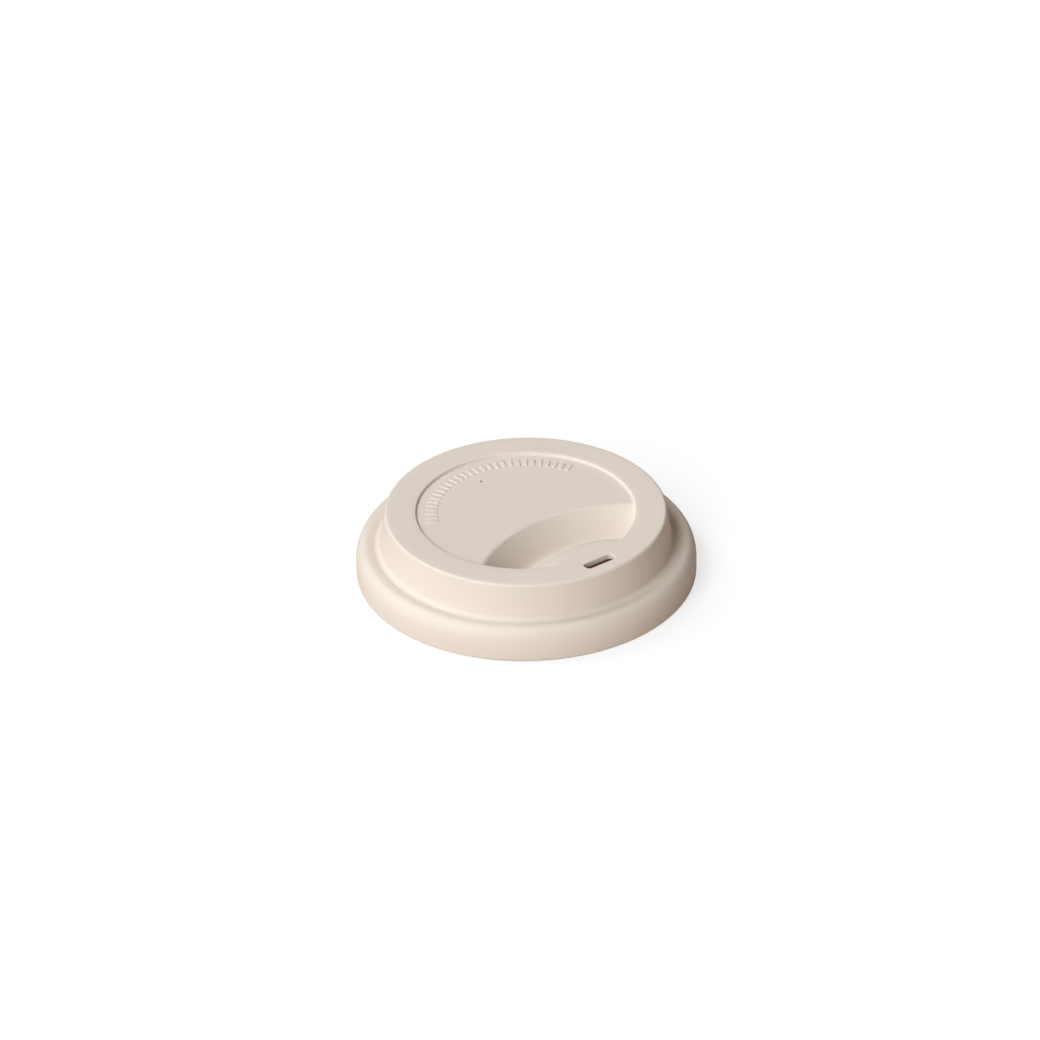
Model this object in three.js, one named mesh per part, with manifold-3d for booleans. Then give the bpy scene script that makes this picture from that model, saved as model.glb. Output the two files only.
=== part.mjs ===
// A soft silicone lid for a reusable coffee cup, in millimetres and degrees.
// It stands on the foot of its band at z = 0, with the cup's axis on Z and the sip slot towards -Y.
// It is one moulding: the band that grips the cup, a drum with a flat top ring, a panel sunk into
// the ring, a hollow for the drinker's lip with the mouthpiece in front of it, a slot and a vent.

import * as THREE from "three";
import { mergeVertices } from "three/addons/utils/BufferGeometryUtils.js";
import Module from "manifold-3d";

// The cup that the lid fits
const CUP_RADIUS = 45; // outside of the cup's rim

// Gripping band and its rounded shoulder
const BAND_WALL = 2.5;
const BAND_SIDE = 4.4; // height of the upright side
const SHOULDER_WIDTH = 2.9; // from the side in to the crest
const SHOULDER_RISE = 5.2; // from the side up to the crest
const FOOT_ROUND = 0.9; // outer edge of the foot
const LEAD_IN = 0.5; // inner edge of the foot

// Valley between the shoulder and the drum
const VALLEY_WIDTH = 2.6; // from the crest in to the bottom of the valley
const VALLEY_DEPTH = 0.5;
const VALLEY_ROUND = 1.4;

// Drum and top ring
const HEIGHT = 19.5;
const DRUM_TAPER = 8.7; // lean of the drum's side
const EDGE_ROUND = 0.9; // edge between the side and the ring
const RING_WIDTH = 8.7;
const WALL = 2.2;
const CEILING_ROUND = 1.6; // inner corner between the drum's side and its top

// Seat inside the band, which the cup's rim meets
const SEAT_EDGE = 0.6; // round of its inner edge
const SEAT_CORNER = 0.5; // round of its corner with the band

// Sunk panel
const PANEL_DEPTH = 0.7;
const PANEL_WALL = 2;

// Hollow for the lip
const HOLLOW_LENGTH = 24.3; // from the ring's inner edge to the back of the hollow
const HOLLOW_ARC = 42.9; // radius of the back edge, seen from above
const HOLLOW_SLOPE = 46; // steepness of the back wall
const HOLLOW_DEPTH = 7.1; // below the panel

// Mouthpiece, which stays level with the ring
const MOUTH_REACH = 6.9; // from the ring's inner edge into the hollow
const MOUTH_ARC = 18.3; // radius of its edge, seen from above
const MOUTH_SLOPE = 40; // steepness of its side

// Openings
const SLOT_LENGTH = 9.6;
const SLOT_WIDTH = 2.8;
const SLOT_CORNER = 1.2;
const SLOT_INSET = 5.4; // from the drum's upper edge to the slot's middle
const SLOT_LIP = 1.5; // thickness of the wall round the slot
const SLOT_RELIEF = 1.8; // width of the thinned wall round the slot
const VENT_DIAMETER = 1.2;
const VENT_INSET = 10; // from the ring's inner edge to the vent

// Arc of raised ribs on the panel
const RIB_LENGTH = 3.3;
const RIB_WIDTH = 1;
const RIB_RISE = 0.2;
const RIB_INSET = 4.35; // from the ring's inner edge to the middle of a rib
const RIB_PITCH = 4.6; // angle from one rib to the next
const RIB_SPAN = 65; // angle from the middle of the arc to its end

// Fineness of the mesh and overlap of the shapes that cut or join
const ROUND_STEPS = 72;
const HOLLOW_STEPS = 120;
const OVERLAP = 1;

const SILICONE = new THREE.MeshStandardMaterial({ color: 0xded0c5, roughness: 0.62, metalness: 0 });

const rad = THREE.MathUtils.degToRad;
const sine = (degrees) => Math.sin(rad(degrees));
const cosine = (degrees) => Math.cos(rad(degrees));
const slope = (degrees) => Math.tan(rad(degrees));

const bandRadius = CUP_RADIUS + BAND_WALL;
const crestRadius = bandRadius - SHOULDER_WIDTH;
const crestHeight = BAND_SIDE + SHOULDER_RISE;
const valleyRadius = crestRadius - VALLEY_WIDTH;
const valleyHeight = crestHeight - VALLEY_DEPTH;
const drumFootHeight = valleyHeight + VALLEY_ROUND;
const seatHeight = valleyHeight - WALL;
const panelHeight = HEIGHT - PANEL_DEPTH;
const ceilingHeight = panelHeight - PANEL_WALL;
const ringRadius = drumRadius(HEIGHT) - RING_WIDTH;
const hollowFloor = panelHeight - HOLLOW_DEPTH;
const hollowCentre = ringRadius - HOLLOW_LENGTH + HOLLOW_ARC;
const mouthCentre = ringRadius - MOUTH_REACH + MOUTH_ARC;

const wasm = await Module();
wasm.setup();

// Radius of the drum's outer side at a height. The side touches the valley's round.
function drumRadius(height) {
  const footRadius = valleyRadius - VALLEY_ROUND / cosine(DRUM_TAPER);
  return footRadius - (height - drumFootHeight) * slope(DRUM_TAPER);
}

// Part of a circle or an ellipse in a profile, from one angle to another.
function arc(radius, height, acrossRadius, uprightRadius, from, to, steps) {
  const clockwise = to < from;
  const curve = new THREE.EllipseCurve(
    radius, height, acrossRadius, uprightRadius, rad(from), rad(to), clockwise);
  return curve.getPoints(steps);
}

// Round that touches a level face from below and the drum's side, or a face set in from that side.
function roundBelow(level, inset, round, from, to, steps) {
  const height = level - round;
  const radius = drumRadius(height) - (inset + round) / cosine(DRUM_TAPER);
  return arc(radius, height, round, round, from, to, steps);
}

// Underside of the lid, from the axis out to the foot of the band.
function undersideProfile() {
  const wallRadius = drumRadius(drumFootHeight) - WALL / cosine(DRUM_TAPER);
  return [
    new THREE.Vector2(0, ceilingHeight),
    ...roundBelow(ceilingHeight, WALL, CEILING_ROUND, 90, DRUM_TAPER, 3),
    new THREE.Vector2(wallRadius, drumFootHeight),
    ...arc(wallRadius + SEAT_EDGE, seatHeight + SEAT_EDGE, SEAT_EDGE, SEAT_EDGE, 180, 270, 3),
    ...arc(
      CUP_RADIUS - SEAT_CORNER, seatHeight - SEAT_CORNER, SEAT_CORNER, SEAT_CORNER, 90, 0, 2),
    ...arc(CUP_RADIUS + LEAD_IN, LEAD_IN, LEAD_IN, LEAD_IN, 180, 270, 2),
  ];
}

// Outside of the lid, from the foot of the band up to the axis.
// The crest's round and the valley's round touch each other, which settles the crest's radius.
function outsideProfile() {
  const rounds = (VALLEY_WIDTH ** 2 + VALLEY_DEPTH ** 2) / (2 * VALLEY_DEPTH);
  const crestRound = rounds - VALLEY_ROUND;
  const turn = THREE.MathUtils.radToDeg(Math.asin((rounds - VALLEY_DEPTH) / rounds));
  return [
    ...arc(bandRadius - FOOT_ROUND, FOOT_ROUND, FOOT_ROUND, FOOT_ROUND, 270, 360, 3),
    ...arc(crestRadius, BAND_SIDE, SHOULDER_WIDTH, SHOULDER_RISE, 0, 90, 8),
    ...arc(crestRadius, crestHeight - crestRound, crestRound, crestRound, 90, 180 - turn, 3).slice(1),
    ...arc(valleyRadius, drumFootHeight, VALLEY_ROUND, VALLEY_ROUND, -turn, DRUM_TAPER - 180, 4).slice(1),
    ...roundBelow(HEIGHT, 0, EDGE_ROUND, DRUM_TAPER, 90, 4),
    new THREE.Vector2(0, HEIGHT),
  ];
}

// Space of the sunk panel, whose step is two rounds, one turned outwards and one turned inwards.
function panelProfile() {
  const round = PANEL_DEPTH / 2;
  return [
    new THREE.Vector2(0, panelHeight),
    ...arc(ringRadius - round, panelHeight + round, round, round, 270, 360, 2),
    ...arc(ringRadius + round, HEIGHT - round, round, round, 180, 90, 2).slice(1),
    new THREE.Vector2(ringRadius + round, HEIGHT + OVERLAP),
    new THREE.Vector2(0, HEIGHT + OVERLAP),
  ];
}

// Closed geometry as a solid that can be joined and cut.
function solid(geometry) {
  const bare = geometry.clone().deleteAttribute("normal").deleteAttribute("uv");
  const merged = mergeVertices(bare);
  return new wasm.Manifold(new wasm.Mesh({
    numProp: 3,
    vertProperties: merged.attributes.position.array,
    triVerts: new Uint32Array(merged.index.array),
  }));
}

// Solid back as flat-shaded geometry.
function geometryOf(body) {
  const mesh = body.getMesh();
  const geometry = new THREE.BufferGeometry();
  geometry.setAttribute("position", new THREE.BufferAttribute(mesh.vertProperties, 3));
  geometry.setIndex(new THREE.BufferAttribute(mesh.triVerts, 1));
  const flat = geometry.toNonIndexed();
  flat.computeVertexNormals();
  return flat;
}

// Profile turned about the Z axis.
function turned(profile) {
  return solid(new THREE.LatheGeometry(profile, ROUND_STEPS).rotateX(Math.PI / 2));
}

// Upright cone piece between two heights, its axis at a distance from the lid's axis towards -Y.
function conePiece(centre, lowRadius, highRadius, lowHeight, highHeight, steps) {
  const height = highHeight - lowHeight;
  const geometry = new THREE.CylinderGeometry(highRadius, lowRadius, height, steps);
  geometry.rotateX(Math.PI / 2).rotateZ(Math.PI);
  geometry.translate(0, -centre, lowHeight + height / 2);
  return solid(geometry);
}

// Space inside the ring's inner edge, with its wall moved out by a thickness.
function ringSpace(thickness, lowHeight, highHeight) {
  const radius = ringRadius + thickness;
  return turned([
    new THREE.Vector2(0, lowHeight),
    new THREE.Vector2(radius, lowHeight),
    new THREE.Vector2(radius, highHeight),
    new THREE.Vector2(0, highHeight),
  ]);
}

// Space of the lip hollow before the mouthpiece, with its walls and floor moved out by a thickness.
function hollowSpace(thickness, highHeight) {
  const lowHeight = hollowFloor - thickness;
  const radiusAt = (height) =>
    HOLLOW_ARC + (height - panelHeight) / slope(HOLLOW_SLOPE) + thickness / sine(HOLLOW_SLOPE);
  const back = conePiece(
    hollowCentre, radiusAt(lowHeight), radiusAt(highHeight), lowHeight, highHeight, HOLLOW_STEPS);
  return ringSpace(thickness, lowHeight, highHeight).intersect(back);
}

// Mound of the mouthpiece, with its side moved in by a thickness.
function mouthMound(thickness, lowHeight) {
  const radiusAt = (height) =>
    MOUTH_ARC + (HEIGHT - height) / slope(MOUTH_SLOPE) - thickness / sine(MOUTH_SLOPE);
  const highHeight = HEIGHT + OVERLAP;
  return conePiece(
    mouthCentre, radiusAt(lowHeight), radiusAt(highHeight), lowHeight, highHeight, HOLLOW_STEPS);
}

// Wall under the hollow, which keeps the drinker's lip apart from the drink.
function hollowPan() {
  const high = ceilingHeight + PANEL_WALL / 2;
  const low = hollowFloor - WALL - OVERLAP;
  return hollowSpace(WALL, high).subtract(mouthMound(WALL, low));
}

// Everything that is sunk below the ring, around the mouthpiece.
function sunkSpace() {
  const hollow = hollowSpace(0, panelHeight + PANEL_DEPTH / 2);
  return turned(panelProfile()).add(hollow).subtract(mouthMound(0, hollowFloor - OVERLAP));
}

// Upright space with the slot's outline grown by a margin, from below the ceiling up to a height.
function slotSpace(margin, highHeight) {
  const corner = SLOT_CORNER + margin;
  const halfLength = SLOT_LENGTH / 2 - SLOT_CORNER;
  const halfWidth = SLOT_WIDTH / 2 - SLOT_CORNER;
  const outline = new THREE.Shape();
  outline.absarc(halfLength, halfWidth, corner, 0, rad(90));
  outline.absarc(-halfLength, halfWidth, corner, rad(90), rad(180));
  outline.absarc(-halfLength, -halfWidth, corner, rad(180), rad(270));
  outline.absarc(halfLength, -halfWidth, corner, rad(270), rad(360));
  const lowHeight = ceilingHeight - OVERLAP;
  const depth = highHeight - lowHeight;
  const geometry = new THREE.ExtrudeGeometry(outline, { depth, bevelEnabled: false, curveSegments: 4 });
  return solid(geometry.translate(0, SLOT_INSET - drumRadius(HEIGHT), lowHeight));
}

// Sip slot through the mouthpiece, with the wall round it thinned from below.
function sipSlot() {
  return slotSpace(0, HEIGHT + OVERLAP).add(slotSpace(SLOT_RELIEF, HEIGHT - SLOT_LIP));
}

// Vent hole through the panel, opposite the slot.
function ventHole() {
  const radius = VENT_DIAMETER / 2;
  return conePiece(
    VENT_INSET - ringRadius, radius, radius, ceilingHeight - OVERLAP, panelHeight + OVERLAP, 12);
}

// Raised ribs on the panel, each one pointing at the axis.
function ribs() {
  const sunk = PANEL_WALL / 4;
  const count = 2 * Math.floor(RIB_SPAN / RIB_PITCH) + 1;
  const pieces = [];
  for (let i = 0; i < count; i += 1) {
    const geometry = new THREE.BoxGeometry(RIB_WIDTH, RIB_LENGTH, RIB_RISE + sunk);
    geometry.translate(0, ringRadius - RIB_INSET, panelHeight + (RIB_RISE - sunk) / 2);
    geometry.rotateZ(rad((i - (count - 1) / 2) * RIB_PITCH));
    pieces.push(solid(geometry));
  }
  return pieces;
}

function lid() {
  let body = turned([...undersideProfile(), ...outsideProfile()])
    .add(hollowPan())
    .subtract(sunkSpace())
    .subtract(sipSlot())
    .subtract(ventHole());
  for (const rib of ribs()) body = body.add(rib);
  const mesh = new THREE.Mesh(geometryOf(body), SILICONE);
  mesh.name = "lid";
  return mesh;
}

const part = new THREE.Group();
part.add(lid());

export default part;
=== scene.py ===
# %% [markdown]
# # A silicone cup lid
# The lid of a reusable coffee cup is one moulding of soft, matt silicone. It has a band that grips
# the cup, a drum with a flat ring on top, a panel sunk a little into the ring, and a hollow for the
# drinker's lip, with the mouthpiece and its slot in front of it.
#
# The plan: turn the round part from one profile with the Spin tool, press the hollow into the spun
# mesh, cut the slot and the vent, and add a row of raised ribs. The frame gives the real size.

from math import asin, cos, degrees, pi, radians, sin, tan

import bpy
import numpy as np
from mathutils import Matrix, Vector


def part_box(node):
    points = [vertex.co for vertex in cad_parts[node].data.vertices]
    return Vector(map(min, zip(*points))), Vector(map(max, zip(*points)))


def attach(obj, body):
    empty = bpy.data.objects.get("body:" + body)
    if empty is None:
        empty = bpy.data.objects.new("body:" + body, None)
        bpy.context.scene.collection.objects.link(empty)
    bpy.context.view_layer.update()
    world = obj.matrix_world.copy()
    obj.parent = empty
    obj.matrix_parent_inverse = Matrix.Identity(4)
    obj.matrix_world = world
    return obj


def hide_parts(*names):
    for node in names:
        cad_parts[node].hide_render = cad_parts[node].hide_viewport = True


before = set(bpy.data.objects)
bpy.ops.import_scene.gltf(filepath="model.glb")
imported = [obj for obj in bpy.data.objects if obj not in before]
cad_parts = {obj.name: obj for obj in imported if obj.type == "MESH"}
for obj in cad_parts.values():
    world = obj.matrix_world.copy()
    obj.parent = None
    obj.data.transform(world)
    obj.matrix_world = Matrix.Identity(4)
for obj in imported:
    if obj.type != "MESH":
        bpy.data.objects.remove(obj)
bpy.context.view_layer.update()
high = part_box("lid")[1]
MM = 0.001
TINY = 0.001 * MM
BAND_RADIUS = high[0]
HEIGHT = high[2]
print("band radius and height in mm:", round(BAND_RADIUS / MM, 2), round(HEIGHT / MM, 2))

# %% [markdown]
# ## Camera
# The lid was photographed from far away with a long lens, so its ellipses are almost those of a
# parallel view. The camera looks down 31.9 degrees, with the slot turned to the near right. Moving
# the camera sideways instead of shifting the lens keeps the framing in every other view.

# %% Set the camera
VIEW_TURN = radians(-36.2)
VIEW_TILT = radians(31.87)
VIEW_ROLL = radians(0.75)
VIEW_DISTANCE = 1.5
AIM_HEIGHT = 10 * MM
MOVE_RIGHT = -1.62 * MM
MOVE_UP = 5.17 * MM
SENSOR = 36
PICTURE = 1040
FOCAL_PIXELS = 5385
FARTHEST = 20

back = Vector((sin(VIEW_TURN) * cos(VIEW_TILT), -cos(VIEW_TURN) * cos(VIEW_TILT), sin(VIEW_TILT)))
right = Vector((cos(VIEW_TURN), sin(VIEW_TURN), 0))
up = back.cross(right)
bpy.ops.object.camera_add()
camera = bpy.context.object
axes = Matrix((right, up, back)).transposed().to_4x4()
place = Vector((0, 0, AIM_HEIGHT)) + back * VIEW_DISTANCE + right * MOVE_RIGHT + up * MOVE_UP
camera.matrix_world = Matrix.Translation(place) @ axes @ Matrix.Rotation(-VIEW_ROLL, 4, "Z")
camera.data.sensor_width = SENSOR
camera.data.lens = SENSOR * FOCAL_PIXELS / PICTURE
camera.data.clip_end = FARTHEST
bpy.context.scene.camera = camera
print("lens in mm:", round(camera.data.lens, 1))

# %% [markdown]
# ## Profile of the round part
# Everything round on the lid shares one axis, so half of its section is drawn once and spun. The
# profile starts on the axis under the panel, runs out over the underside, round the band and back
# over the top to the axis. Corners are arcs with a few points each, as on the real mould.

# %% Sizes of the round part
BAND_WALL = 2.5 * MM
BAND_SIDE = 4.4 * MM
SHOULDER_WIDTH = 2.9 * MM
SHOULDER_RISE = 5.2 * MM
FOOT_ROUND = 0.9 * MM
LEAD_IN = 0.5 * MM
VALLEY_WIDTH = 2.6 * MM
VALLEY_DEPTH = 0.5 * MM
VALLEY_ROUND = 1.4 * MM
TAPER = radians(8.7)
EDGE_ROUND = 0.9 * MM
RING_WIDTH = 8.7 * MM
WALL = 2.2 * MM
CEILING_ROUND = 1.6 * MM
SEAT_EDGE = 0.6 * MM
SEAT_CORNER = 0.5 * MM
PANEL_DEPTH = 0.7 * MM
PANEL_WALL = 2 * MM

cup_radius = BAND_RADIUS - BAND_WALL
crest_radius = BAND_RADIUS - SHOULDER_WIDTH
crest_height = BAND_SIDE + SHOULDER_RISE
valley_radius = crest_radius - VALLEY_WIDTH
valley_height = crest_height - VALLEY_DEPTH
drum_foot = valley_height + VALLEY_ROUND
seat_height = valley_height - WALL
panel_height = HEIGHT - PANEL_DEPTH
ceiling_height = panel_height - PANEL_WALL


def drum_radius(height):
    """Radius of the drum's outer side at a height."""
    return valley_radius - VALLEY_ROUND / cos(TAPER) - (height - drum_foot) * tan(TAPER)


ring_radius = drum_radius(HEIGHT) - RING_WIDTH
wall_radius = drum_radius(drum_foot) - WALL / cos(TAPER)
print("ring's inner radius in mm:", round(ring_radius / MM, 2))

# %% [markdown]
# ## The hollow as a height
# Seen from above, the hollow's back edge is a wide arc and the mouthpiece's edge a narrow one. Each
# wall is part of a cone round its arc's centre, so its height at a point follows from the distance
# to that centre. A soft maximum blends the two cones where they meet, as the rounded tip of a cutter
# would, and a soft minimum rounds the upper edges. The underside uses the same cones, a wall lower.

# %% Sizes and height of the hollow
HOLLOW_LENGTH = 24.3 * MM
HOLLOW_ARC = 42.9 * MM
HOLLOW_SLOPE = radians(46)
HOLLOW_DEPTH = 7.1 * MM
MOUTH_REACH = 6.9 * MM
MOUTH_ARC = 18.3 * MM
MOUTH_SLOPE = radians(40)
CREASE_BLEND = 1.5 * MM
BACK_EDGE_BLEND = 0.3 * MM
MOUTH_EDGE_BLEND = 1.8 * MM
FLOOR_BLEND = 1.2 * MM

hollow_floor = panel_height - HOLLOW_DEPTH
hollow_centre = ring_radius - HOLLOW_LENGTH + HOLLOW_ARC
mouth_centre = ring_radius - MOUTH_REACH + MOUTH_ARC
print("centres of both arcs in front of the axis in mm:",
      round(hollow_centre / MM, 2), round(mouth_centre / MM, 2))


def soft_max(a, b, blend):
    """Larger of two heights, with a round blend where they are close."""
    near = np.maximum(blend - np.abs(a - b), 0) / blend
    return np.maximum(a, b) + near * near * blend / 4


def soft_min(a, b, blend):
    """Smaller of two heights, with a round blend where they are close."""
    return -soft_max(-a, -b, blend)


def sunk_height(x, y, panel, ring, lower):
    """Height of the panel, hollow and mouthpiece at a point, for the top or a wall lower."""
    past_back_edge = np.hypot(x, y + hollow_centre) - HOLLOW_ARC
    past_mouth_edge = np.hypot(x, y + mouth_centre) - MOUTH_ARC
    back_wall = panel_height + past_back_edge * tan(HOLLOW_SLOPE) - lower / cos(HOLLOW_SLOPE)
    mouth_side = HEIGHT - past_mouth_edge * tan(MOUTH_SLOPE) - lower / cos(MOUTH_SLOPE)
    back_wall = soft_max(back_wall, hollow_floor - lower, FLOOR_BLEND)
    behind = soft_min(back_wall, panel, BACK_EDGE_BLEND)
    before = soft_min(mouth_side, ring, MOUTH_EDGE_BLEND)
    return soft_max(behind, before, CREASE_BLEND)


# %% [markdown]
# ## Draw the profile
# By hand this is a vertex that is extruded from point to point. The same is done here: a plane is
# merged to one vertex, and each extrusion moves the new end on by the step to the next point. Under
# and over the hollow the points lie close together, so that the cones come out smooth.

# %% Points of the profile
AROUND = 288
FINE_STEP = 0.42 * MM
COARSE_STEP = 0.8 * MM
RING_STEP = 1.5 * MM
PAN_EDGE = 0.3 * MM
STEP_ROUND = PANEL_DEPTH / 2


def arc(radius, height, across, upright, start, end, steps):
    """Points on part of a circle or an ellipse, with both ends, angles in degrees."""
    turns = [radians(start + (end - start) * i / steps) for i in range(steps + 1)]
    return [(radius + across * cos(t), height + upright * sin(t)) for t in turns]


def round_below(level, inset, size, start, end, steps):
    """Round that touches a level face from below and the drum's side, or a face inside it."""
    height = level - size
    radius = drum_radius(height) - (inset + size) / cos(TAPER)
    return arc(radius, height, size, size, start, end, steps)


def level_run(height, start, end, step):
    """Points along a level face, without its last one."""
    count = max(1, round(abs(end - start) / step))
    return [(start + (end - start) * i / count, height) for i in range(count)]


pan_radius = ring_radius + WALL
underside = (
    level_run(ceiling_height, 0, pan_radius, COARSE_STEP)
    + [(pan_radius, ceiling_height)]
    + [(pan_radius + PAN_EDGE, ceiling_height)]
    + round_below(ceiling_height, WALL, CEILING_ROUND, 90, degrees(TAPER), 6)
    + [(wall_radius, drum_foot)]
    + arc(wall_radius + SEAT_EDGE, seat_height + SEAT_EDGE, SEAT_EDGE, SEAT_EDGE, 180, 270, 6)
    + arc(cup_radius - SEAT_CORNER, seat_height - SEAT_CORNER, SEAT_CORNER, SEAT_CORNER, 90, 0, 5)
    + arc(cup_radius + LEAD_IN, LEAD_IN, LEAD_IN, LEAD_IN, 180, 270, 5))

# The crest and the valley are two arcs that touch, so the distance of their centres is both radii.
both_rounds = (VALLEY_WIDTH ** 2 + VALLEY_DEPTH ** 2) / (2 * VALLEY_DEPTH)
crest_round = both_rounds - VALLEY_ROUND
valley_turn = degrees(asin((both_rounds - VALLEY_DEPTH) / both_rounds))
outside = (
    arc(BAND_RADIUS - FOOT_ROUND, FOOT_ROUND, FOOT_ROUND, FOOT_ROUND, 270, 360, 6)
    + arc(crest_radius, BAND_SIDE, SHOULDER_WIDTH, SHOULDER_RISE, 0, 90, 16)
    + arc(crest_radius, crest_height - crest_round, crest_round, crest_round,
          90, 180 - valley_turn, 6)[1:]
    + arc(valley_radius, drum_foot, VALLEY_ROUND, VALLEY_ROUND,
          -valley_turn, degrees(TAPER) - 180, 9)[1:]
    + round_below(HEIGHT, 0, EDGE_ROUND, degrees(TAPER), 90, 8))

ring_end = ring_radius + STEP_ROUND
panel_end = ring_radius - 2 * STEP_ROUND
top = (
    level_run(HEIGHT, outside[-1][0], ring_end, RING_STEP)
    + arc(ring_end, HEIGHT - STEP_ROUND, STEP_ROUND, STEP_ROUND, 90, 180, 4)
    + arc(panel_end + STEP_ROUND, panel_height + STEP_ROUND, STEP_ROUND, STEP_ROUND, 0, -90, 4)[:-1]
    + level_run(panel_height, panel_end + STEP_ROUND, 0, FINE_STEP)
    + [(0, panel_height)])
print("points on the profile:", len(underside) + len(outside) + len(top))

# %% Draw and spin it
bpy.ops.object.select_all(action="DESELECT")
profile = underside + outside + top[1:]
bpy.ops.mesh.primitive_plane_add(size=MM, location=(0, 0, 0))
lid = bpy.context.object
lid.name = "silicone_lid"
bpy.ops.object.mode_set(mode="EDIT")
bpy.ops.mesh.merge(type="CENTER")
bpy.ops.transform.translate(value=(profile[0][0], 0, profile[0][1]))
for before, after in zip(profile, profile[1:]):
    step = (after[0] - before[0], 0, after[1] - before[1])
    if max(abs(step[0]), abs(step[2])) > TINY / 10:
        bpy.ops.mesh.extrude_vertices_move(TRANSFORM_OT_translate={"value": step})
bpy.ops.mesh.select_all(action="SELECT")
bpy.ops.mesh.spin(steps=AROUND, angle=2 * pi, center=(0, 0, 0), axis=(0, 0, 1))
bpy.ops.mesh.select_all(action="SELECT")
bpy.ops.mesh.remove_doubles(threshold=TINY)
bpy.ops.mesh.normals_make_consistent(inside=False)
bpy.ops.object.mode_set(mode="OBJECT")
print("faces after the spin:", len(lid.data.polygons))

# %% [markdown]
# ## Press the hollow
# The spun panel and its underside are level meshes, and the hollow is pressed into both by moving
# their points straight down to the heights worked out above. The points of the step between ring and
# panel move too, so that the step grows into the hollow's side wall and fades out where the
# mouthpiece meets the ring.

# %% Move the points
coords = np.empty(len(lid.data.vertices) * 3)
lid.data.vertices.foreach_get("co", coords)
coords = coords.reshape(-1, 3)
x, y, z = coords.T
r = np.hypot(x, y)

over = (z > panel_height - TINY) & (r < ring_end + TINY)
edge_x = x / np.maximum(r, TINY) * ring_radius
edge_y = y / np.maximum(r, TINY) * ring_radius
edge_top = sunk_height(edge_x, edge_y, panel_height, HEIGHT, 0)
drop = np.clip(HEIGHT - edge_top, 0, None)
step_share = np.clip(drop / PANEL_DEPTH, 0, 1)

on_step = over & (r > ring_radius - STEP_ROUND - TINY)
upper_step = on_step & (z > panel_height + STEP_ROUND - TINY) & (r > ring_radius - TINY)
lower_step = on_step & ~upper_step
flat_panel = over & ~on_step

new_z = z.copy()
surface = sunk_height(x, y, panel_height, HEIGHT, 0)
new_z[flat_panel] = surface[flat_panel]
new_z[upper_step] = (HEIGHT - (HEIGHT - z) * step_share)[upper_step]
lift = (z - panel_height) * step_share
new_z[lower_step] = np.minimum(surface + lift, HEIGHT)[lower_step]

under = (np.abs(z - ceiling_height) < TINY) & (r < pan_radius + TINY)
beneath = sunk_height(x, y, ceiling_height, ceiling_height, WALL)
new_z[under] = np.minimum(beneath, ceiling_height)[under]

coords[:, 2] = new_z
lid.data.vertices.foreach_set("co", coords.ravel())
lid.data.update()
print("deepest point of the hollow in mm:", round(float(new_z[flat_panel].min()) / MM, 2))

# %% [markdown]
# ## Slot and vent
# Both are holes with a small round on their upper edge. The cutter has that round turned inside out:
# its top is extruded in small steps that flare like a trumpet, so one Boolean cut makes the hole
# and its soft edge together. A wider cutter from below first thins the wall round the slot to a lip.

# %% Sizes of the slot and the vent
SLOT_LENGTH = 9.6 * MM
SLOT_WIDTH = 2.8 * MM
SLOT_CORNER = 1.2 * MM
SLOT_INSET = 5.4 * MM
SLOT_LIP = 1.5 * MM
SLOT_RELIEF = 1.8 * MM
SLOT_EDGE = 0.3 * MM
VENT_DIAMETER = 1.2 * MM
VENT_INSET = 10 * MM
VENT_EDGE = 0.12 * MM
CLEAR = 1 * MM
cutter_foot = ceiling_height - CLEAR
slot_middle = drum_radius(HEIGHT) - SLOT_INSET
print("slot's middle in front of the axis in mm:", round(slot_middle / MM, 2))

# %% Select parts of a tool
FACING_UP = 0.9


def select_top(obj):
    """Select the faces that point up, in edit mode."""
    bpy.ops.mesh.select_mode(type="FACE")
    bpy.ops.mesh.select_all(action="DESELECT")
    bpy.ops.object.mode_set(mode="OBJECT")
    for face in obj.data.polygons:
        face.select = face.normal.z > FACING_UP
    bpy.ops.object.mode_set(mode="EDIT")


def select_upright(obj):
    """Select a box's upright edges in edit mode."""
    bpy.ops.mesh.select_mode(type="EDGE")
    bpy.ops.mesh.select_all(action="DESELECT")
    bpy.ops.object.mode_set(mode="OBJECT")
    for edge in obj.data.edges:
        a, b = (obj.data.vertices[v].co for v in edge.vertices)
        edge.select = abs(a.z - b.z) > max(abs(a.x - b.x), abs(a.y - b.y))
    bpy.ops.object.mode_set(mode="EDIT")


# %% Flare a cutter and cut with it
FLARE_STEPS = 5


def flare_top(length, width, edge):
    """Extrude the top of a cutter in steps that flare by a quarter round, then straight up."""
    rise_before = grow_before = 0
    for i in range(1, FLARE_STEPS + 1):
        turned = radians(90 * i / FLARE_STEPS)
        rise = edge * sin(turned)
        grow = edge * (1 - cos(turned))
        bpy.ops.mesh.extrude_region_move(
            TRANSFORM_OT_translate={"value": (0, 0, rise - rise_before)})
        longer, wider = [(side + 2 * grow) / (side + 2 * grow_before) for side in (length, width)]
        bpy.ops.transform.resize(value=(longer, wider, 1))
        rise_before, grow_before = rise, grow
    bpy.ops.mesh.extrude_region_move(TRANSFORM_OT_translate={"value": (0, 0, CLEAR)})


def combine(target, tool, operation):
    """Cut a tool out of a piece or add it to the piece, and delete the tool."""
    bpy.ops.object.select_all(action="DESELECT")
    bpy.context.view_layer.objects.active = target
    target.select_set(True)
    modifier = target.modifiers.new("combine", "BOOLEAN")
    modifier.object = tool
    modifier.operation = operation
    modifier.solver = "EXACT"
    bpy.ops.object.modifier_apply(modifier=modifier.name)
    bpy.data.objects.remove(tool)


# %% Cut the slot


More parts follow.
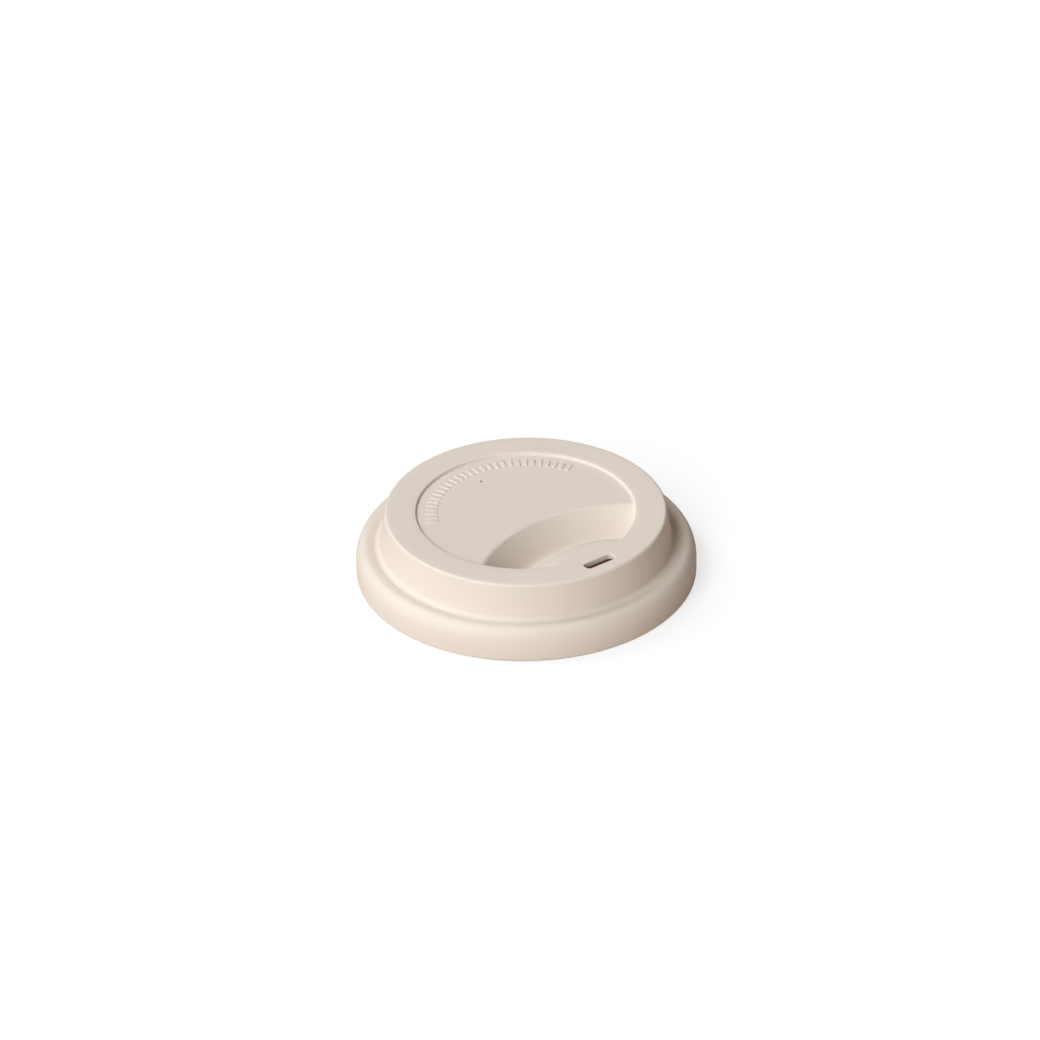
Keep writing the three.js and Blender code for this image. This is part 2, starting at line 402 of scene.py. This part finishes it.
def slot_block(margin, high_end):
    """Cube with the slot's outline and a margin, left in edit mode with its upright edges round."""
    bpy.ops.object.select_all(action="DESELECT")
    bpy.ops.mesh.primitive_cube_add(size=1, location=(0, 0, 0))
    cutter = bpy.context.object
    bpy.ops.object.mode_set(mode="EDIT")
    bpy.ops.transform.resize(
        value=(SLOT_LENGTH + 2 * margin, SLOT_WIDTH + 2 * margin, high_end - cutter_foot))
    bpy.ops.transform.translate(value=(0, -slot_middle, (cutter_foot + high_end) / 2))
    select_upright(cutter)
    bpy.ops.mesh.bevel(offset=SLOT_CORNER + margin, segments=8)
    return cutter


def relief_cutter():
    """Space below the slot, with a round upper edge."""
    cutter = slot_block(SLOT_RELIEF, HEIGHT - SLOT_LIP)
    select_top(cutter)
    bpy.ops.mesh.region_to_loop()
    bpy.ops.mesh.bevel(offset=SLOT_EDGE, segments=4)
    bpy.ops.object.mode_set(mode="OBJECT")
    return cutter


def slot_cutter():
    """Slot that flares at its upper edge."""
    cutter = slot_block(0, HEIGHT - SLOT_EDGE)
    select_top(cutter)
    flare_top(SLOT_LENGTH, SLOT_WIDTH, SLOT_EDGE)
    bpy.ops.object.mode_set(mode="OBJECT")
    return cutter


combine(lid, relief_cutter(), "DIFFERENCE")
combine(lid, slot_cutter(), "DIFFERENCE")
print("faces with the slot:", len(lid.data.polygons))

# %% Cut the vent


def vent_cutter():
    """Round hole that flares at its upper edge."""
    bpy.ops.object.select_all(action="DESELECT")
    high_end = panel_height - VENT_EDGE
    bpy.ops.mesh.primitive_cylinder_add(
        vertices=32, radius=VENT_DIAMETER / 2, depth=high_end - cutter_foot, location=(0, 0, 0))
    cutter = bpy.context.object
    bpy.ops.object.mode_set(mode="EDIT")
    bpy.ops.transform.translate(
        value=(0, ring_radius - VENT_INSET, (cutter_foot + high_end) / 2))
    select_top(cutter)
    flare_top(VENT_DIAMETER, VENT_DIAMETER, VENT_EDGE)
    bpy.ops.object.mode_set(mode="OBJECT")
    return cutter


combine(lid, vent_cutter(), "DIFFERENCE")
print("faces with the vent:", len(lid.data.polygons))

# %% [markdown]
# ## Ribs
# A row of low ribs stands on the panel in an arc round the back. One rib is a cube made narrow, with
# its upright edges bevelled to round ends and a smaller bevel round its top. It is copied round the
# axis, and the copies are joined to the lid by one Boolean.

# %% Model one rib
RIB_LENGTH = 3.3 * MM
RIB_WIDTH = 1 * MM
RIB_RISE = 0.2 * MM
RIB_SUNK = 0.5 * MM
RIB_INSET = 4.35 * MM
RIB_PITCH = 4.6
RIB_SPAN = 65
RIB_END_ROUND = 0.46 * MM
RIB_TOP_ROUND = 0.17 * MM


def one_rib():
    """Rib at the middle of the arc, sunk a little into the panel."""
    bpy.ops.object.select_all(action="DESELECT")
    bpy.ops.mesh.primitive_cube_add(size=1, location=(0, 0, 0))
    rib = bpy.context.object
    bpy.ops.object.mode_set(mode="EDIT")
    bpy.ops.transform.resize(value=(RIB_WIDTH, RIB_LENGTH, RIB_RISE + RIB_SUNK))
    bpy.ops.transform.translate(
        value=(0, ring_radius - RIB_INSET, panel_height + (RIB_RISE - RIB_SUNK) / 2))
    select_upright(rib)
    bpy.ops.mesh.bevel(offset=RIB_END_ROUND, segments=5)
    select_top(rib)
    bpy.ops.mesh.region_to_loop()
    bpy.ops.mesh.bevel(offset=RIB_TOP_ROUND, segments=3)
    bpy.ops.object.mode_set(mode="OBJECT")
    return rib


first = one_rib()
print("faces of one rib:", len(first.data.polygons))

# %% Copy it round and join the row to the lid


def turned_copy(source, angle):
    """Copy of a rib, turned round the lid's axis."""
    bpy.ops.object.select_all(action="DESELECT")
    bpy.context.view_layer.objects.active = source
    source.select_set(True)
    bpy.ops.object.duplicate()
    copy = bpy.context.object
    copy.rotation_euler.z = radians(angle)
    return copy


half = int(RIB_SPAN // RIB_PITCH)
copies = [turned_copy(first, i * RIB_PITCH) for i in range(-half, half + 1) if i != 0]
bpy.ops.object.select_all(action="DESELECT")
for piece in copies + [first]:
    piece.select_set(True)
bpy.context.view_layer.objects.active = first
bpy.ops.object.transform_apply(location=True, rotation=True, scale=True)
bpy.ops.object.join()
combine(lid, bpy.context.object, "UNION")
print("ribs:", 2 * half + 1, "faces:", len(lid.data.polygons))

# %% [markdown]
# ## Finish the mesh
# A Boolean can leave points that lie almost on each other, and faces without area. They are merged
# and dissolved, so that the shading runs over them evenly. Smooth shading stops at sharp edges only.

# %% Clean and smooth it
SMOOTH_ANGLE = radians(40)

bpy.ops.object.mode_set(mode="EDIT")
bpy.ops.mesh.select_all(action="SELECT")
bpy.ops.mesh.remove_doubles(threshold=2 * TINY)
bpy.ops.mesh.dissolve_degenerate(threshold=2 * TINY)
bpy.ops.mesh.normals_make_consistent(inside=False)
bpy.ops.object.mode_set(mode="OBJECT")
bpy.ops.object.shade_smooth_by_angle(angle=SMOOTH_ANGLE)
lid.data.calc_loop_triangles()
print("triangles:", len(lid.data.loop_triangles))

# %% [markdown]
# ## A small language for materials
# Shader maths reads better as arithmetic than as a list of links. This class wraps one output
# socket: an operator on it adds a Math node and wraps the result. Every other node is added by one
# method, which sets the node's own settings before its sockets.

# %% Wrapped sockets


class Graph:
    """Node tree of one material."""

    def __init__(self, name):
        self.material = bpy.data.materials.new(name)
        self.material.use_nodes = True
        self.tree = self.material.node_tree
        self.tree.nodes.clear()

    def node(self, kind, settings=None, inputs=None, output=0):
        """Add a node with its settings, then its inputs by name or number."""
        node = self.tree.nodes.new(kind)
        for key, value in (settings or {}).items():
            setattr(node, key, value)
        for key, value in (inputs or {}).items():
            socket = node.inputs[key]
            if isinstance(value, Value):
                self.tree.links.new(value.socket, socket)
            else:
                socket.default_value = value
        return Value(self, node.outputs[output]) if len(node.outputs) else node


class Value:
    """One output socket, with arithmetic."""

    def __init__(self, graph, socket):
        self.graph = graph
        self.socket = socket

    def math(self, operation, other):
        """Math node on this value and another."""
        return self.graph.node(
            "ShaderNodeMath", {"operation": operation}, {0: self, 1: other})

    def __add__(self, other):
        return self.math("ADD", other)

    def __radd__(self, other):
        return self.math("ADD", other)

    def __mul__(self, other):
        return self.math("MULTIPLY", other)

    def __rmul__(self, other):
        return self.math("MULTIPLY", other)


# %% [markdown]
# ## Silicone
# Soft-touch silicone is matt, slightly warm and almost even in colour. Three things keep it from
# looking like paint: a very faint cloudy tint from mixing the pigment, a fine moulded grain that
# breaks up the light, and a roughness that changes a little from place to place.

# %% Make the silicone
SILICONE_COLOUR = (0.745, 0.665, 0.585, 1)
SILICONE_SHADE = (0.715, 0.630, 0.545, 1)
CLOUD_SCALE = 55
GRAIN_SCALE = 2600
PORE_SCALE = 900
CLOUD_IN_TINT = 0.7
GRAIN_IN_TINT = 0.3
GRAIN_IN_RELIEF = 0.5
RELIEF_DEPTH = 0.02 * MM
RELIEF_STRENGTH = 0.25
ROUGHNESS = 0.53
ROUGHNESS_CHANGE = 0.14
REFRACTION = 1.41
REFLECTION = 0.45


def silicone():
    """Matt silicone with a cloudy tint, a fine grain and uneven roughness."""
    graph = Graph("silicone")
    place = graph.node("ShaderNodeTexCoord", output="Object")
    cloud = graph.node(
        "ShaderNodeTexNoise", inputs={"Vector": place, "Scale": CLOUD_SCALE, "Detail": 4.0})
    grain = graph.node(
        "ShaderNodeTexNoise", inputs={"Vector": place, "Scale": GRAIN_SCALE, "Detail": 2.0})
    pores = graph.node(
        "ShaderNodeTexNoise", inputs={"Vector": place, "Scale": PORE_SCALE, "Detail": 3.0})
    tint = cloud * CLOUD_IN_TINT + grain * GRAIN_IN_TINT
    colour = graph.node(
        "ShaderNodeMix", {"data_type": "RGBA"},
        {"Factor": tint, 6: SILICONE_SHADE, 7: SILICONE_COLOUR}, output=2)
    bump = graph.node(
        "ShaderNodeBump", inputs={
            "Strength": RELIEF_STRENGTH, "Distance": RELIEF_DEPTH,
            "Height": grain * GRAIN_IN_RELIEF + pores})
    shader = graph.node(
        "ShaderNodeBsdfPrincipled", inputs={
            "Base Color": colour, "Roughness": cloud * ROUGHNESS_CHANGE + ROUGHNESS,
            "Normal": bump, "IOR": REFRACTION, "Specular IOR Level": REFLECTION})
    graph.node("ShaderNodeOutputMaterial", inputs={"Surface": shader})
    return graph.material


lid.data.materials.clear()
lid.data.materials.append(silicone())
print("nodes in the silicone:", len(lid.data.materials[0].node_tree.nodes))

# %% [markdown]
# ## Floor
# The floor looks white to the camera but keeps the lid's shadow, and what it throws back on the lid
# is a warm grey. Where the camera looks through the slot at the floor inside the lid, a dim brown
# glow is painted shade, tinted for the little light that comes through silicone.

# %% Lay the floor
FLOOR_SIZE = 4
FLOOR_PALE = (0.30, 0.30, 0.30, 1)
FLOOR_GLOW = 0.72
FLOOR_BOUNCE = (0.6, 0.51, 0.44, 1)
# Painted shade: the dark brown that the camera sees on the floor inside the lid.
PAINTED_INSIDE_SHADE = (0.075, 0.035, 0.018, 1)


def floor_material():
    """Floor that is white for the camera, has painted brown shade inside the lid, and is warm grey
    for other light.
    """
    graph = Graph("pale_floor")
    place = graph.node("ShaderNodeTexCoord", output="Object")
    reach = graph.node("ShaderNodeVectorMath", {"operation": "LENGTH"}, {0: place}, output="Value")
    seen = graph.node("ShaderNodeLightPath", output="Is Camera Ray")
    pale = graph.node("ShaderNodeBsdfDiffuse", inputs={"Color": FLOOR_PALE})
    glow = graph.node(
        "ShaderNodeEmission", inputs={"Color": (1, 1, 1, 1), "Strength": FLOOR_GLOW})
    shown = graph.node("ShaderNodeAddShader", inputs={0: pale, 1: glow})
    bounced = graph.node("ShaderNodeBsdfDiffuse", inputs={"Color": FLOOR_BOUNCE})
    # Painted shade: a dim brown glow on the floor inside the lid, where only shade falls.
    inside = graph.node(
        "ShaderNodeEmission", inputs={"Color": PAINTED_INSIDE_SHADE, "Strength": 1})
    outside_cup = reach.math("GREATER_THAN", cup_radius)
    looked_at = graph.node(
        "ShaderNodeMixShader", inputs={"Fac": outside_cup, 1: inside, 2: shown})
    shader = graph.node("ShaderNodeMixShader", inputs={"Fac": seen, 1: bounced, 2: looked_at})
    graph.node("ShaderNodeOutputMaterial", inputs={"Surface": shader})
    return graph.material


bpy.ops.object.select_all(action="DESELECT")
bpy.ops.mesh.primitive_plane_add(size=FLOOR_SIZE, location=(0, 0, 0))
floor = bpy.context.object
floor.name = "floor"
floor.data.materials.append(floor_material())
print("floor in m:", FLOOR_SIZE)

# %% [markdown]
# ## Light
# Three large, soft windows stand on the left. A high and a low one light the front of the band and
# let its right side fall into shade, and one further back lights the top. A dim, warm world fills
# the rest. Sun lamps with a wide angle stand for the windows, since they light every spot alike.

# %% Set the light
WORLD_LEVEL = 0.225
WORLD_COLOUR = (1, 0.85, 0.74, 1)
WINDOW_COLOUR = (0.95, 1, 1.05)
WINDOWS = (
    {"name": "high_window", "turn": -161, "tilt": 40, "strength": 1.9, "softness": 30},
    {"name": "low_window", "turn": -146, "tilt": 10, "strength": 0.9, "softness": 30},
    {"name": "side_window", "turn": 120, "tilt": 50, "strength": 1.42, "softness": 30},
)

world = bpy.data.worlds.new("studio")
bpy.context.scene.world = world
world.use_nodes = True
background = world.node_tree.nodes["Background"]
background.inputs["Color"].default_value = WORLD_COLOUR
background.inputs["Strength"].default_value = WORLD_LEVEL

for window in WINDOWS:
    bpy.ops.object.light_add(type="SUN")
    lamp = bpy.context.object
    lamp.name = window["name"]
    window_turn = radians(window["turn"])
    window_tilt = radians(window["tilt"])
    toward = Vector((
        cos(window_turn) * cos(window_tilt), sin(window_turn) * cos(window_tilt), sin(window_tilt)))
    lamp.rotation_euler = toward.to_track_quat("Z", "Y").to_euler()
    lamp.data.color = WINDOW_COLOUR
    lamp.data.energy = window["strength"]
    lamp.data.angle = radians(window["softness"])
bpy.context.scene.view_settings.view_transform = "Standard"
print("windows:", len(WINDOWS))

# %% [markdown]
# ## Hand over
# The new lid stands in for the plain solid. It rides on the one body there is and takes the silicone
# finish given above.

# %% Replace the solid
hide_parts("lid")
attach(lid, "root")
